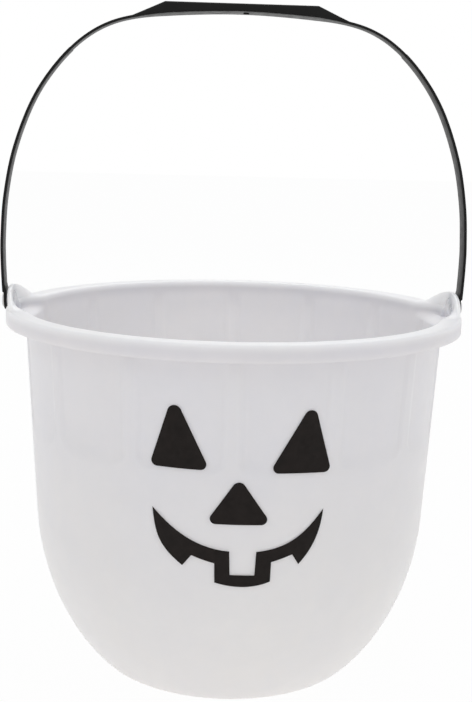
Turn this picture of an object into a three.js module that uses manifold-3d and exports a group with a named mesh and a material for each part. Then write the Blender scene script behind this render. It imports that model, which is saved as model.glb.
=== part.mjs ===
// A milky plastic treat pail with a printed pumpkin face and a black strap handle.
// Millimetres, +Z up, the face looks along -Y, and the origin is under the foot's centre.
import * as THREE from 'three';
import { mergeVertices } from 'three/addons/utils/BufferGeometryUtils.js';
import Module from 'manifold-3d';

const wasm = await Module();
wasm.setup();

// Bucket: heights are above the table, depths are below the rim's top
const RIM_HEIGHT = 166;
const RIM_RADIUS = 105;
const RIM_OVERHANG = 8.6;
const RIM_ROUND = 1.6;
const MOUTH_ROUND = 3;
const SKIRT_DROP = 7;
const SKIRT_WALL = 1.4;
const NECK_DEPTH = 3.2;
const WAIST_DEPTH = 95;
const WAIST_TAPER = 4.7;
const BOWL_REACH = 39.4;
const FOOT_RADIUS = 62.8;
const FOOT_LAND = 9;
const FOOT_LIFT = 1.2;
const HEEL_REACH = 10.4;
const HEEL_ANGLE = 42.5;
const BUCKET_WALL = 1.5;

// Flutes: shallow panels between narrow ribs round the upper wall
const FLUTE_COUNT = 14;
const FLUTE_TURN = -2.6;
const FLUTE_RECESS = 0.7;
const FLUTE_TOP_DEPTH = 4.5;
const FLUTE_FADE = 8;
const FLUTE_END_DEPTH = 54;
const FLUTE_END_ROUND = 6;
const FLUTE_END_FADE = 9;
const RIB_WIDTH = 4.2;
const RIB_FLANK = 2.4;

// Ears: the two humps that carry the handle, with an arched niche inside each
const EAR_RISE = 8.2;
const EAR_HALF_SPAN = 31;
const EAR_SWELL_POWER = 0.9;
const EAR_LEDGE = 0.8;
const EAR_WALL = 1.8;
const NICHE_HALF_WIDTH = 7.8;
const NICHE_TOP_RISE = 5.6;
const NICHE_FLOOR_DROP = 4.5;
const NICHE_WALL = 1.4;
const BOSS_MARGIN = 2.4;
const SHOULDER_REACH = 6;
const SHOULDER_DEPTH = 8.5;
const SHOULDER_TOP_DEPTH = 4.5;
const SHOULDER_LAG = 0.8;
const EAR_MOUTH_ROUND = 1.3;

// Studs: hollow trunnions on the ears, each with a lip that keeps the handle on
const STUD_RISE = 1.2;
const STUD_RADIUS = 2.7;
const STUD_LIP = 0.6;
const STUD_LIP_LENGTH = 0.8;
const STUD_END_WALL = 1.2;
const CORE_RADIUS = 1.5;
const POCKET_WIDTH = 8.6;
const POCKET_HEIGHT = 4.4;
const POCKET_DEPTH = 0.5;
const POCKET_DROP = 1.5;

// Handle: sizes are measured from the stud axis with the handle upright
const SIDE_CLEARANCE = 0.35;
const BORE_CLEARANCE = 0.3;
const END_CLEARANCE = 0.3;
const EYELET_THICKNESS = 1.2;
const KNEE_RISE = 4;
const KNEE_OFFSET = 0.6;
const STRAP_WIDTH = 9;
const STRAP_THICKNESS = 1.3;
const NECK_STRAP_WIDTH = 7.6;
const NECK_STRAP_THICKNESS = 1.15;
const STEP_HALF_WIDTH = 75;
const HANDLE_BULGE = 0.6;
const HANDLE_RISE = 132.3;
const LEG_BULGE_SHARES = [0.45, 1, 0.8, -1.6];
const LEG_RISE_SHARES = [0.066, 0.145, 0.224, 0.36];
const ARCH_SPAN_SHARES = [0.952, 0.877, 0.784, 0.672, 0.552, 0.412, 0.23];
const ARCH_RISE_SHARES = [0.516, 0.676, 0.795, 0.889, 0.948, 0.978, 0.993];
const GRIP_WIDTH = 14;
const GRIP_TOP = 2.3;
const GRIP_HALF_FLAT = 34;
const GRIP_HALF_LENGTH = 48.5;
const GATE_RADIUS = 1.3;
const GATE_LENGTH = 0.6;
const GATE_OFFSET = 2.2;

// Printed face: thin films of ink on the wall. Points are across and up from the rim's top
const INK_CLEARANCE = 0.3;
const INK_THICKNESS = 0.25;
const TIP_ROUND = 2.8;
const CORNER_ROUND = 2.3;
const LEFT_EYE = { tip: [-27.9, -21.7], base: [[-36.9, -52.3], [-12.9, -52.6]] };
const RIGHT_EYE = { tip: [27.8, -23.7], base: [[10.6, -53.5], [36.3, -54.3]] };
const NOSE = { tip: [-1.2, -54.9], base: [[-14.5, -74.8], [12.6, -75.2]] };
const MOUTH = {
  leftEnd: [-35.5, -69.6],
  leftCheek: [[-34.2, -81.8], [-32.8, -86]],
  leftFang: [-23.2, -93.5],
  leftLip: [[-19.6, -88.8], [-14.8, -90.7], [-10.3, -91.7]],
  chin: [[-10.1, -100.1], [2.7, -103.8], [12.5, -99.7]],
  rightLip: [[12.7, -91.2], [17, -90.1], [21.3, -88.4]],
  rightFang: [24, -92.9],
  rightCheek: [[30.3, -86.2], [32.9, -78.9]],
  rightEnd: [33.6, -69.8],
  rightSmile: [[24.7, -82.5], [17.2, -85.5]],
  gap: [[6.5, -86.6], [6, -96.8], [-4, -96.6], [-4.4, -86.4]],
  leftSmile: [[-18, -85.5], [-27.6, -78.4]],
};

// Mesh steps, the reach of cuts past what they cut, and the distance at which corners are merged
const BOWL_STEPS = 10;
const ROUND_STEPS = 3;
const EAR_STEPS = 40;
const STUD_SIDES = 36;
const STRAP_STEPS = 56;
const GATE_SIDES = 12;
const PRISM_SEGMENTS = 16;
const MARK_SEGMENTS = 4;
const MOUTH_SEGMENTS = 10;
const CUT_MARGIN = 1;
const MERGE_DISTANCE = 1e-4;

const DEG = Math.PI / 180;
const pitch = 360 / FLUTE_COUNT;
const neckRadius = RIM_RADIUS - RIM_OVERHANG;
const neckInner = neckRadius - BUCKET_WALL;
const mouthRadius = neckInner + MOUTH_ROUND;
const waistRadius = neckRadius - WAIST_TAPER;
const studAxisHeight = RIM_HEIGHT + STUD_RISE;
const earOuterRadius = RIM_RADIUS - EAR_LEDGE;
const earInnerRadius = earOuterRadius - EAR_WALL;
const earMouthRadius = neckInner + SHOULDER_REACH + EAR_MOUTH_ROUND;
const nicheRadius = earOuterRadius - NICHE_WALL;
const strapInner = RIM_RADIUS + SIDE_CLEARANCE;
const strapOuter = strapInner + EYELET_THICKNESS;
const boreRadius = STUD_RADIUS + BORE_CLEARANCE;
const kneeOuter = strapOuter + KNEE_OFFSET;
const lipStart = strapOuter + END_CLEARANCE;
const studEnd = lipStart + STUD_LIP_LENGTH;

// Solids

// A closed geometry as a solid, with its shared corners merged and slivers left out
function solid(geometry) {
  const bare = geometry.clone();
  bare.deleteAttribute('normal');
  bare.deleteAttribute('uv');
  const merged = mergeVertices(bare, MERGE_DISTANCE);
  const index = merged.index.array;
  const triVerts = [];
  for (let i = 0; i < index.length; i += 3) {
    const [a, b, c] = [index[i], index[i + 1], index[i + 2]];
    if (a !== b && b !== c && c !== a) triVerts.push(a, b, c);
  }
  const vertProperties = new Float32Array(merged.attributes.position.array);
  return new wasm.Manifold(new wasm.Mesh({
    numProp: 3, vertProperties, triVerts: new Uint32Array(triVerts),
  }));
}

function geometryOf(body) {
  const mesh = body.getMesh();
  const geometry = new THREE.BufferGeometry();
  geometry.setAttribute('position', new THREE.BufferAttribute(new Float32Array(mesh.vertProperties), 3));
  geometry.setIndex(new THREE.BufferAttribute(new Uint32Array(mesh.triVerts), 1));
  geometry.computeVertexNormals();
  return geometry;
}

// A shape drawn in Y and Z, extruded along X
function prismAlongX(shape, from, to) {
  const prism = new THREE.ExtrudeGeometry(shape, {
    depth: to - from, bevelEnabled: false, curveSegments: PRISM_SEGMENTS,
  });
  const turn = new THREE.Matrix4().makeBasis(
    new THREE.Vector3(0, 1, 0), new THREE.Vector3(0, 0, 1), new THREE.Vector3(1, 0, 0));
  return solid(prism.applyMatrix4(turn).translate(from, 0, 0));
}

// A shape drawn in X and Z, extruded along Y and centred on it
function prismAlongY(shape, width, curveSegments = PRISM_SEGMENTS) {
  const prism = new THREE.ExtrudeGeometry(shape, { depth: width, bevelEnabled: false, curveSegments });
  return solid(prism.rotateX(Math.PI / 2).translate(0, width / 2, 0));
}

// A profile of radius and distance, turned about the X axis
function turnedAboutX(profile, sides) {
  const points = profile.map(([radius, along]) => new THREE.Vector2(radius, along));
  return solid(new THREE.LatheGeometry(points, sides).rotateZ(-Math.PI / 2));
}

function bothSides(make) {
  return make().add(make().rotate([0, 0, 180]));
}

function polygon(points) {
  return new THREE.Shape(points.map(([a, b]) => new THREE.Vector2(a, b)));
}

// Bucket wall

const waist = new THREE.Vector2(waistRadius, RIM_HEIGHT - WAIST_DEPTH);
const neck = new THREE.Vector2(neckRadius, RIM_HEIGHT - NECK_DEPTH);
const foot = new THREE.Vector2(FOOT_RADIUS, 0);
const wallDown = waist.clone().sub(neck).normalize();
const heelUp = new THREE.Vector2(Math.cos(HEEL_ANGLE * DEG), Math.sin(HEEL_ANGLE * DEG));
const bowl = new THREE.CubicBezierCurve(
  foot,
  foot.clone().addScaledVector(heelUp, HEEL_REACH),
  waist.clone().addScaledVector(wallDown, BOWL_REACH),
  waist);

// Heights of the rows in the fluted stretch, closer together round the panels' ends
function flutedHeights() {
  const straight = FLUTE_END_DEPTH - FLUTE_END_ROUND;
  const depths = [FLUTE_END_DEPTH + FLUTE_END_FADE / 3];
  for (const part of [1, 0.5, 0]) depths.push(straight + part * FLUTE_END_ROUND);
  depths.push(FLUTE_TOP_DEPTH + FLUTE_FADE);
  depths.push(SHOULDER_DEPTH, (SHOULDER_DEPTH + SHOULDER_TOP_DEPTH) / 2, SHOULDER_TOP_DEPTH);
  return depths.map((depth) => RIM_HEIGHT - depth);
}

// How far the wall is pushed out at a height under the middle of an ear
function shoulder(height) {
  return SHOULDER_REACH * THREE.MathUtils.smoothstep(
    height, RIM_HEIGHT - SHOULDER_DEPTH, RIM_HEIGHT - SHOULDER_TOP_DEPTH);
}

// The share of that push at an angle from the front: all of it at the niche, none past the ear
function earShare(angle) {
  const across = Math.abs(earOuterRadius * Math.cos(angle * DEG));
  return 1 - THREE.MathUtils.smoothstep(across, NICHE_HALF_WIDTH + BOSS_MARGIN, EAR_HALF_SPAN);
}

// The outer wall from the foot to the neck, as points with their outward normals
function wallRows() {
  const rows = [];
  for (let i = 0; i <= BOWL_STEPS; i += 1) {
    const t = i / BOWL_STEPS;
    const along = bowl.getTangent(t);
    rows.push({ point: bowl.getPoint(t), normal: new THREE.Vector2(along.y, -along.x) });
  }
  const normal = new THREE.Vector2(-wallDown.y, wallDown.x);
  for (const height of [...flutedHeights(), neck.y]) {
    const t = (neck.y - height) / (neck.y - waist.y);
    rows.push({ point: neck.clone().lerp(waist, t), normal });
  }
  return rows;
}

function share(value) {
  return THREE.MathUtils.clamp(value, 0, 1);
}

// How far the flutes push the wall in at an angle from the front and a height
function fluteRecess(angle, height) {
  const depth = RIM_HEIGHT - height;
  const fromRib = THREE.MathUtils.euclideanModulo(angle - FLUTE_TURN, pitch);
  const toRib = Math.min(fromRib, pitch - fromRib) * DEG * neckRadius;
  const beyond = share((depth - FLUTE_END_DEPTH) / FLUTE_END_ROUND + 1);
  const reach = FLUTE_END_ROUND * (1 - Math.sqrt(1 - beyond * beyond));
  const flank = share((toRib - RIB_WIDTH / 2 - reach) / RIB_FLANK);
  const top = share((depth - FLUTE_TOP_DEPTH) / FLUTE_FADE);
  const end = share((FLUTE_END_DEPTH - depth) / FLUTE_END_FADE + 1 / 3);
  return FLUTE_RECESS * flank * top * end;
}

// Angles round the pail, set at each rib's edges and spread over each panel
function stations() {
  const top = RIB_WIDTH / 2 / neckRadius / DEG;
  const edge = top + RIB_FLANK / neckRadius / DEG;
  const quarter = (edge + pitch / 2) / 2;
  const steps = [-edge, -top, top, edge, quarter, pitch / 2, pitch - quarter];
  const angles = [];
  for (let rib = 0; rib < FLUTE_COUNT; rib += 1) {
    for (const step of steps) angles.push(FLUTE_TURN + rib * pitch + step);
  }
  return angles;
}

// A profile of radius and height turned about Z. Fluted points go in, and a push goes out at the ears
function turned(profile) {
  const angles = stations();
  const points = profile.map(({ radius, height }) => new THREE.Vector2(radius, height));
  const lathe = new THREE.LatheGeometry(points, angles.length);
  const position = lathe.attributes.position;
  for (let i = 0; i < position.count; i += 1) {
    const row = i % profile.length;
    const angle = angles[Math.floor(i / profile.length) % angles.length];
    const { height, fluted, push = 0 } = profile[row];
    const recess = fluted ? fluteRecess(angle, height) : 0;
    const radius = profile[row].radius - recess + push * earShare(angle);
    position.setXYZ(i, radius * Math.sin(angle * DEG), -radius * Math.cos(angle * DEG), height);
  }
  const index = lathe.index.array;
  const flipped = new THREE.BufferGeometry();
  flipped.setAttribute('position', position);
  flipped.setIndex([...index]);
  return solid(flipped);
}

function arc(centreRadius, centreHeight, size, from, to) {
  const points = [];
  for (let i = 0; i <= ROUND_STEPS; i += 1) {
    const angle = (from + ((to - from) * i) / ROUND_STEPS) * DEG;
    points.push({
      radius: centreRadius + size * Math.cos(angle), height: centreHeight + size * Math.sin(angle),
    });
  }
  return points;
}

// The rim: a flat ring with a rounded mouth and a skirt, from outside the neck to inside it
function rimProfile() {
  const under = RIM_HEIGHT - BUCKET_WALL;
  const skirtInner = RIM_RADIUS - SKIRT_WALL;
  const mouth = arc(mouthRadius, RIM_HEIGHT - MOUTH_ROUND, MOUTH_ROUND, 90, 180);
  const earMouth = arc(earMouthRadius, RIM_HEIGHT, EAR_MOUTH_ROUND, 90, 180);
  return [
    { radius: neckRadius, height: under, push: SHOULDER_REACH },
    { radius: skirtInner - RIM_ROUND / 2, height: under },
    { radius: skirtInner, height: under - RIM_ROUND / 2 },
    { radius: skirtInner, height: RIM_HEIGHT - SKIRT_DROP },
    { radius: RIM_RADIUS, height: RIM_HEIGHT - SKIRT_DROP },
    ...arc(RIM_RADIUS - RIM_ROUND, RIM_HEIGHT - RIM_ROUND, RIM_ROUND, 0, 90),
    ...mouth.map((row, i) => ({ ...row, push: earMouth[i].radius - row.radius })),
  ];
}

function bucketShell() {
  const rows = wallRows();
  const kept = rows.filter((row, i) => i % 2 === 0 || i >= BOWL_STEPS);
  const inner = kept.map(({ point, normal }) => {
    const height = point.y - normal.y * BUCKET_WALL;
    const radius = point.x - normal.x * BUCKET_WALL;
    return { radius, height, fluted: true, push: shoulder(height - SHOULDER_LAG) };
  });
  inner[0] = { radius: FOOT_RADIUS - FOOT_LAND / 2, height: FOOT_LIFT + BUCKET_WALL };
  const profile = [
    { radius: 0, height: FOOT_LIFT },
    { radius: FOOT_RADIUS - FOOT_LAND - FOOT_LIFT, height: FOOT_LIFT },
    { radius: FOOT_RADIUS - FOOT_LAND, height: 0 },
    ...rows.map(({ point }) => (
      { radius: point.x, height: point.y, fluted: true, push: shoulder(point.y) })),
    ...rimProfile(),
    ...inner.reverse(),
    { radius: 0, height: FOOT_LIFT + BUCKET_WALL },
  ];
  return turned(profile);
}

// Ears

// The hump that both ears are cut to, as seen along X
function humpShape() {
  const points = [[EAR_HALF_SPAN, RIM_HEIGHT - BUCKET_WALL / 2]];
  for (let i = 0; i <= EAR_STEPS; i += 1) {
    const across = EAR_HALF_SPAN * Math.cos((Math.PI * i) / EAR_STEPS);
    const swell = Math.cos((Math.PI / 2) * (across / EAR_HALF_SPAN)) ** EAR_SWELL_POWER;
    points.push([across, RIM_HEIGHT + EAR_RISE * swell]);
  }
  points.push([-EAR_HALF_SPAN, RIM_HEIGHT - BUCKET_WALL / 2]);
  return polygon(points);
}

function ears() {
  const low = RIM_HEIGHT - BUCKET_WALL / 2;
  const high = RIM_HEIGHT + EAR_RISE + RIM_ROUND;
  const foot = { radius: mouthRadius + MOUTH_ROUND / 3, height: low };
  foot.push = earMouthRadius - foot.radius;
  const ring = turned([
    foot,
    { radius: earOuterRadius - RIM_ROUND / 2, height: low },
    { radius: earOuterRadius, height: low + RIM_ROUND / 2 },
    { radius: earOuterRadius, height: high },
    { radius: earInnerRadius, height: high },
    foot,
  ]);
  return ring.intersect(prismAlongX(humpShape(), -RIM_RADIUS, RIM_RADIUS));
}

// The block that fills the rim's channel behind each niche
function bosses() {
  const bottom = RIM_HEIGHT - SKIRT_DROP;
  const half = NICHE_HALF_WIDTH + BOSS_MARGIN;
  const outside = RIM_RADIUS - SKIRT_WALL / 2;
  const top = RIM_HEIGHT - BUCKET_WALL / 2;
  const halfway = (SHOULDER_DEPTH + SHOULDER_TOP_DEPTH) / 2;
  const heights = [bottom, RIM_HEIGHT - halfway, RIM_HEIGHT - SHOULDER_TOP_DEPTH, top];
  const inside = heights.map((height) => (
    { radius: neckRadius + shoulder(height) - BUCKET_WALL / 2, height }));
  const ring = turned([
    inside[0],
    { radius: outside, height: bottom },
    { radius: outside, height: top },
    ...inside.toReversed(),
  ]);
  const below = bottom - CUT_MARGIN;
  const slab = polygon([[-half, below], [half, below], [half, RIM_HEIGHT], [-half, RIM_HEIGHT]]);
  return ring.intersect(prismAlongX(slab, -RIM_RADIUS, RIM_RADIUS));
}

function niche() {
  const shape = new THREE.Shape();
  const spring = RIM_HEIGHT + NICHE_TOP_RISE - NICHE_HALF_WIDTH;
  const floor = RIM_HEIGHT - NICHE_FLOOR_DROP;
  shape.moveTo(-NICHE_HALF_WIDTH, floor);
  shape.lineTo(NICHE_HALF_WIDTH, floor);
  shape.lineTo(NICHE_HALF_WIDTH, spring);
  shape.absarc(0, spring, NICHE_HALF_WIDTH, 0, Math.PI);
  return prismAlongX(shape, neckInner - BUCKET_WALL, nicheRadius);
}

// A stud along X with a lip at its outer end
function stud() {
  const chamfer = STUD_LIP / 2;
  return turnedAboutX([
    [0, nicheRadius + NICHE_WALL / 2],
    [STUD_RADIUS, nicheRadius + NICHE_WALL / 2],
    [STUD_RADIUS, lipStart],
    [STUD_RADIUS + STUD_LIP, lipStart],
    [STUD_RADIUS + STUD_LIP, studEnd - chamfer],
    [STUD_RADIUS - chamfer, studEnd],
    [0, studEnd],
  ], STUD_SIDES).translate([0, 0, studAxisHeight]);
}

// The hollow of a stud and the shallow pocket below its mouth, open towards the inside of the pail
function core() {
  const end = POCKET_HEIGHT / 2;
  const side = POCKET_WIDTH / 2 - end;
  const middle = studAxisHeight - POCKET_DROP;
  const pocket = new THREE.Shape();
  pocket.absarc(side, middle, end, -Math.PI / 2, Math.PI / 2);
  pocket.absarc(-side, middle, end, Math.PI / 2, (3 * Math.PI) / 2);
  const hole = new THREE.Shape();
  hole.absarc(0, studAxisHeight, CORE_RADIUS, 0, 2 * Math.PI);
  const start = nicheRadius - NICHE_WALL;
  return prismAlongX(pocket, start, nicheRadius + POCKET_DEPTH)
    .add(prismAlongX(hole, start, studEnd - STUD_END_WALL));
}

function bucket() {
  let body = bucketShell().add(ears()).add(bosses());
  body = body.add(bothSides(stud));
  body = body.subtract(bothSides(niche));
  return body.subtract(bothSides(core));
}

// Handle

// The strap's outer face from the knee to the top, as half widths and rises over the stud axis
const strapLine = new THREE.SplineCurve([
  [kneeOuter, KNEE_RISE],
  ...LEG_BULGE_SHARES.map((part, i) => (
    [kneeOuter + part * HANDLE_BULGE, LEG_RISE_SHARES[i] * HANDLE_RISE])),
  ...ARCH_SPAN_SHARES.map((part, i) => [part * kneeOuter, ARCH_RISE_SHARES[i] * HANDLE_RISE]),
  [0, HANDLE_RISE],
].map(([halfWidth, rise]) => new THREE.Vector2(halfWidth, rise)));

// Points of the strap's outer face with their inward normals, right side first
function strapRows(until = () => true) {
  const rows = [];
  for (let i = 0; i <= STRAP_STEPS; i += 1) {
    const t = i / STRAP_STEPS;
    const point = strapLine.getPoint(t);
    const along = t < 1 ? strapLine.getTangent(t) : new THREE.Vector2(-1, 0);
    if (until(point)) rows.push({ point, normal: new THREE.Vector2(-along.y, along.x) });
  }
  return rows;
}

function ribbon(rows, thickness) {
  const outer = rows.map(({ point }) => [point.x, studAxisHeight + point.y]);
  const inner = rows.map(({ point, normal }) => [
    point.x + normal.x * thickness, studAxisHeight + point.y + normal.y * thickness,
  ]);
  return [outer, inner];
}

// The whole arch in its thin section
function thinStrap() {
  const [outer, inner] = ribbon(strapRows(), NECK_STRAP_THICKNESS);
  const mirror = (points) => points.slice(0, -1).reverse().map(([x, z]) => [-x, z]);
  const shape = polygon([...outer, ...mirror(outer), ...mirror(inner).reverse(), ...inner.reverse()]);
  return prismAlongY(shape, NECK_STRAP_WIDTH);
}

// The thicker lower part of each leg, from the step down to the knee
function thickLeg() {
  const [outer, inner] = ribbon(strapRows((point) => point.x > STEP_HALF_WIDTH), STRAP_THICKNESS);
  return prismAlongY(polygon([...outer, ...inner.reverse()]), STRAP_WIDTH);
}

// The flat end that turns on the stud, and the knee that joins it to the leg
function eyelet() {
  const [start, above] = [strapLine.getPoint(0), strapLine.getPoint(1 / STRAP_STEPS)];
  const knee = polygon([
    [strapInner, studAxisHeight],
    [strapOuter, studAxisHeight],
    [strapOuter, studAxisHeight + KNEE_RISE],
    [start.x, studAxisHeight + start.y],
    [above.x, studAxisHeight + above.y],
    [above.x - STRAP_THICKNESS, studAxisHeight + above.y + STRAP_THICKNESS],
    [strapInner, studAxisHeight + KNEE_RISE + KNEE_OFFSET],
  ]);
  const disc = turnedAboutX([
    [0, strapInner],
    [STRAP_WIDTH / 2, strapInner],
    [STRAP_WIDTH / 2, strapOuter],
    [0, strapOuter],
  ], STUD_SIDES).translate([0, 0, studAxisHeight]);
  return prismAlongY(knee, STRAP_WIDTH).add(disc);
}

function eyeletBore() {
  const past = strapInner - SIDE_CLEARANCE;
  return turnedAboutX([
    [0, past],
    [boreRadius, past],
    [boreRadius, studEnd + CUT_MARGIN],
    [0, studEnd + CUT_MARGIN],
  ], STUD_SIDES).translate([0, 0, studAxisHeight]);
}

// The grip: a flat-topped pad on the arch, narrowed towards its ends
function grip() {
  const top = studAxisHeight + HANDLE_RISE + GRIP_TOP;
  const rows = strapRows((point) => point.x < GRIP_HALF_LENGTH);
  const under = ribbon(rows, NECK_STRAP_THICKNESS)[1];
  const left = under.slice(0, -1).reverse().map(([x, z]) => [-x, z]);
  const side = polygon([...under, ...left, [-GRIP_HALF_FLAT, top], [GRIP_HALF_FLAT, top]]);
  const end = GRIP_HALF_LENGTH + CUT_MARGIN;
  const [wide, narrow] = [GRIP_WIDTH / 2, NECK_STRAP_WIDTH / 2];
  const plan = polygon([
    [end, -narrow], [end, narrow], [GRIP_HALF_FLAT, wide], [-GRIP_HALF_FLAT, wide],
    [-end, narrow], [-end, -narrow], [-GRIP_HALF_FLAT, -wide], [GRIP_HALF_FLAT, -wide],
  ]);
  const tall = new THREE.ExtrudeGeometry(plan, { depth: 2 * HANDLE_RISE, bevelEnabled: false });
  return prismAlongY(side, GRIP_WIDTH).intersect(solid(tall.translate(0, 0, studAxisHeight)));
}

// The moulding gate's stub under the grip
function gate() {
  const under = studAxisHeight + HANDLE_RISE - NECK_STRAP_THICKNESS;
  const stub = new THREE.CylinderGeometry(GATE_RADIUS, GATE_RADIUS, 2 * GATE_LENGTH, GATE_SIDES);
  return solid(stub.rotateX(Math.PI / 2)).translate([GATE_OFFSET, 0, under]);
}

function handle() {
  let body = thinStrap().add(bothSides(thickLeg)).add(bothSides(eyelet));
  body = body.add(grip()).add(gate());
  return body.subtract(bothSides(eyeletBore));
}

// Printed face

// A triangle whose tip and corners are rounded by arcs
function markShape({ tip, base }) {
  const corners = [tip, ...base].map(([across, rise]) => new THREE.Vector2(across, rise));
  const shape = new THREE.Shape();
  corners.forEach((corner, i) => {
    const before = corners[(i + 2) % 3].clone().sub(corner).normalize();
    const after = corners[(i + 1) % 3].clone().sub(corner).normalize();
    const half = Math.acos(before.dot(after)) / 2;
    const round = i === 0 ? TIP_ROUND : CORNER_ROUND;
    const middle = before.clone().add(after).normalize();
    const centre = corner.clone().addScaledVector(middle, round / Math.sin(half));
    const start = corner.clone().addScaledVector(before, round / Math.tan(half)).sub(centre);
    const end = corner.clone().addScaledVector(after, round / Math.tan(half)).sub(centre);
    shape.absarc(centre.x, centre.y, round, start.angle(), end.angle(), false);
  });
  return shape;
}

// A grin with a square tooth gap above and a fang at each side
function mouthShape() {
  const shape = new THREE.Shape();
  const line = (to) => shape.lineTo(...to);
  const bend = (by, to) => shape.quadraticCurveTo(...by, ...to);
  const sweep = ([from, by], to) => shape.bezierCurveTo(...from, ...by, ...to);
  shape.moveTo(...MOUTH.leftEnd);
  sweep(MOUTH.leftCheek, MOUTH.leftFang);
  line(MOUTH.leftLip[0]);
  bend(MOUTH.leftLip[1], MOUTH.leftLip[2]);
  line(MOUTH.chin[0]);
  bend(MOUTH.chin[1], MOUTH.chin[2]);
  line(MOUTH.rightLip[0]);
  bend(MOUTH.rightLip[1], MOUTH.rightLip[2]);
  line(MOUTH.rightFang);
  sweep(MOUTH.rightCheek, MOUTH.rightEnd);
  sweep(MOUTH.rightSmile, MOUTH.gap[0]);
  MOUTH.gap.slice(1).forEach(line);
  sweep(MOUTH.leftSmile, MOUTH.leftEnd);
  return shape;
}

// The skin just outside the wall that the ink is cut from
function inkSkin() {
  const rows = wallRows().filter(({ point }) => point.y < neck.y && point.y > waist.y - BOWL_REACH);
  const offset = (distance) => rows.map(({ point, normal }) => ({
    radius: point.x + normal.x * distance, height: point.y + normal.y * distance, fluted: true,
  }));
  const near = offset(INK_CLEARANCE);
  const far = offset(INK_CLEARANCE + INK_THICKNESS);
  return turned([...far, ...near.reverse(), far[0]]);
}

function ink(shape, curveSegments) {
  const cutter = prismAlongY(shape, RIM_RADIUS, curveSegments);
  return inkSkin().intersect(cutter.translate([0, -RIM_RADIUS / 2, RIM_HEIGHT]));
}

// Assembly

const milky = { color: 0xdcdbdc, roughness: 0.42, metalness: 0 };
const black = { color: 0x191918, roughness: 0.45, metalness: 0 };
const inkBlack = { color: 0x231f1e, roughness: 0.6, metalness: 0 };

function piece(name, body, finish) {
  const mesh = new THREE.Mesh(geometryOf(body), new THREE.MeshStandardMaterial(finish));
  mesh.name = name;
  return mesh;
}

const pail = new THREE.Group();
pail.add(piece('bucket', bucket(), milky));
pail.add(piece('handle', handle(), black));
pail.add(piece('left_eye_print', ink(markShape(LEFT_EYE), MARK_SEGMENTS), inkBlack));
pail.add(piece('right_eye_print', ink(markShape(RIGHT_EYE), MARK_SEGMENTS), inkBlack));
pail.add(piece('nose_print', ink(markShape(NOSE), MARK_SEGMENTS), inkBlack));
pail.add(piece('mouth_print', ink(mouthShape(), MOUTH_SEGMENTS), inkBlack));

export default pail;
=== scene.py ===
"""The looks of the treat pail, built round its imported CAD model.

Sizes are in millimetres here and go to Blender in metres. +Z is up, the face looks along -Y.
"""

import math

import bmesh
import bpy
import numpy as np
from mathutils import Matrix, Vector
from mathutils.geometry import delaunay_2d_cdt


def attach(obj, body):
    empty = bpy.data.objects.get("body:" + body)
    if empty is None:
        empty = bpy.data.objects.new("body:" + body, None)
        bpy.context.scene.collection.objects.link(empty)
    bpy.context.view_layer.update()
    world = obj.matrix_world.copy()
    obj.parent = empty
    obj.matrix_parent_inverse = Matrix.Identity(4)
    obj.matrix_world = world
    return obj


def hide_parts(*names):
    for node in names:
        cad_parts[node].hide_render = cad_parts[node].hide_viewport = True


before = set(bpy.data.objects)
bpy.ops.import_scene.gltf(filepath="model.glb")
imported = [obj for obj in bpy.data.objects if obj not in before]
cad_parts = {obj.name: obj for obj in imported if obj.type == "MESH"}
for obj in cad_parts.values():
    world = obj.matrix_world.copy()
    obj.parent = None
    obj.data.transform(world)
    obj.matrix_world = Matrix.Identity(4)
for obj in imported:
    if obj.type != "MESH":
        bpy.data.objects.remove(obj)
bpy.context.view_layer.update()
scene = bpy.context.scene

# Metres in a millimetre
METRES = 0.001

# The bucket, as in the CAD
RIM_HEIGHT = 166
RIM_RADIUS = 105
RIM_OVERHANG = 8.6
RIM_ROUND = 1.6
MOUTH_ROUND = 3
SKIRT_DROP = 7
SKIRT_WALL = 1.4
NECK_DEPTH = 3.2
WAIST_DEPTH = 95
WAIST_TAPER = 4.7
BOWL_REACH = 39.4
FOOT_RADIUS = 62.8
FOOT_LAND = 9
FOOT_LIFT = 1.2
HEEL_REACH = 10.4
HEEL_ANGLE = 42.5
BUCKET_WALL = 1.5
FLUTE_COUNT = 14
FLUTE_TURN = -2.6
FLUTE_RECESS = 0.7
FLUTE_TOP_DEPTH = 4.5
FLUTE_FADE = 8
FLUTE_END_DEPTH = 54
FLUTE_END_ROUND = 6
FLUTE_END_FADE = 9
RIB_WIDTH = 4.2
RIB_FLANK = 2.4
EAR_RISE = 8.2
EAR_HALF_SPAN = 31
EAR_SWELL_POWER = 0.9
EAR_LEDGE = 0.8
EAR_WALL = 1.8
EAR_ROUND = 0.5
NICHE_HALF_WIDTH = 7.8
NICHE_TOP_RISE = 5.6
NICHE_FLOOR_DROP = 4.5
NICHE_WALL = 1.4
BOSS_MARGIN = 2.4
SHOULDER_REACH = 6
SHOULDER_DEPTH = 8.5
SHOULDER_TOP_DEPTH = 4.5
SHOULDER_LAG = 0.8
EAR_MOUTH_ROUND = 1.3
STUD_RISE = 1.2
STUD_RADIUS = 2.7
STUD_LIP = 0.6
STUD_LIP_LENGTH = 0.8
STUD_END_WALL = 1.2
CORE_RADIUS = 1.5
POCKET_WIDTH = 8.6
POCKET_HEIGHT = 4.4
POCKET_DEPTH = 0.5
POCKET_DROP = 1.5

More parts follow.
